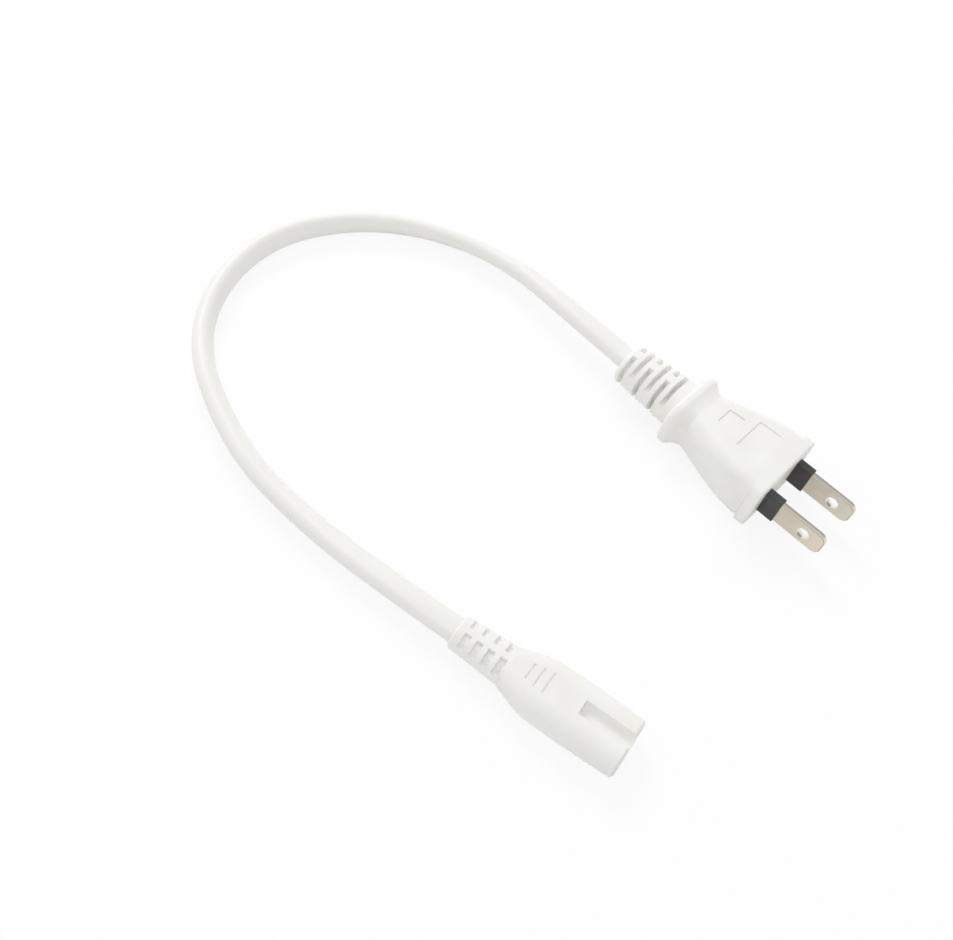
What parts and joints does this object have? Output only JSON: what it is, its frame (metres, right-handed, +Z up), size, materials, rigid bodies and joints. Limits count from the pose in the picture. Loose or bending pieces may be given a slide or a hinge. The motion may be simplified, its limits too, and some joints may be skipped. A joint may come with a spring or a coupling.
{
  "type": "power cord",
  "caption": "Short mains power cord with a flat-blade plug, flat flexible cord, slotted strain reliefs and a figure-of-eight appliance connector.",
  "frame": {"origin": "on the floor, under the middle of the box round the plug and the connector", "axes": "+X the way the plug's blades point, +Z up, +Y from the connector towards the plug"},
  "size_m": [0.1526, 0.1026, 0.0136],
  "materials": {
    "cord_sheath": "soft satin sheath",
    "moulded_pvc": "fine satin moulding",
    "black_plastic": "matte moulding",
    "plated_blade": "nickel plated, satin",
    "core_insulation": "plain",
    "tinned_contact": "tinned",
    "carrier_plastic": "matte moulding"
  },
  "bodies": {
    "root": {"cord": "cord_sheath", "plug_body": "moulded_pvc", "connector_body": "moulded_pvc", "blade_holder": "black_plastic", "blade_line": "plated_blade", "blade_neutral": "plated_blade", "plug_core_line": "core_insulation", "plug_core_neutral": "core_insulation", "connector_core_line": "core_insulation", "connector_core_neutral": "core_insulation", "contact_line": "tinned_contact", "contact_neutral": "tinned_contact", "contact_carrier": "carrier_plastic"}
  },
  "joints": []
}
